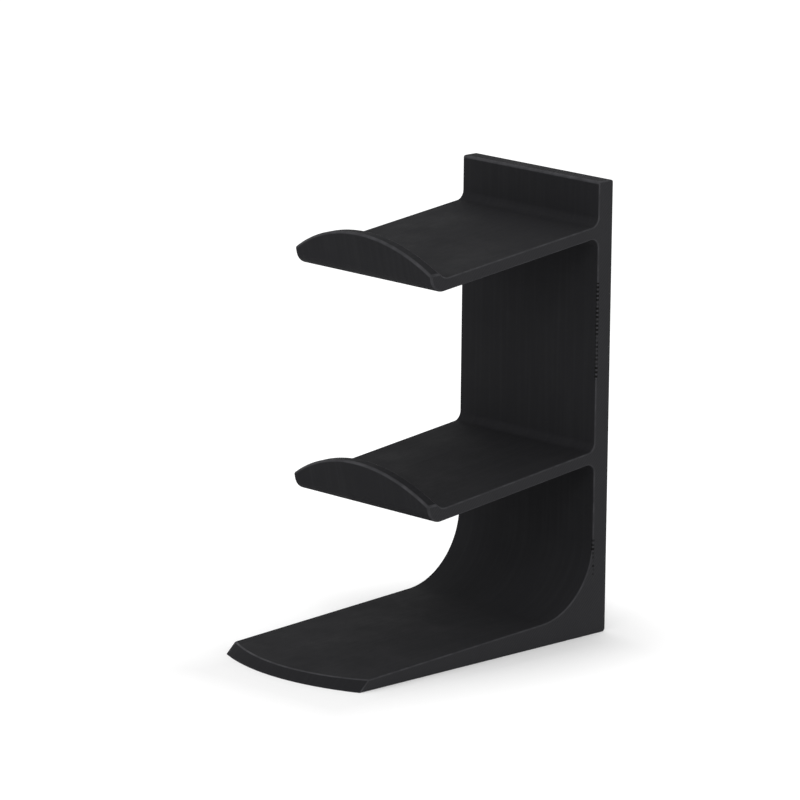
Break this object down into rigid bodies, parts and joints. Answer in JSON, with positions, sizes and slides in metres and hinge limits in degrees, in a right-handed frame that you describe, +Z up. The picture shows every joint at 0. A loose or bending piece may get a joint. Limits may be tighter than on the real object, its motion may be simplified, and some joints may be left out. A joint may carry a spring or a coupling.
{
  "type": "game controller stand",
  "caption": "Desk stand printed in one piece: an L-shaped frame with a sloping base and sloping trays whose raised, arched lips hold game pads.",
  "frame": {"origin": "on the table, under the middle of the stand's bounding box", "axes": "+Z up along the upright, +Y towards the rear face of the upright, +X to the right across the stand"},
  "size_m": [0.062, 0.118, 0.15],
  "materials": {
    "printed_plastic": "matte black, finely grained from the print's layers"
  },
  "bodies": {
    "root": {"stand": "printed_plastic"}
  },
  "joints": []
}
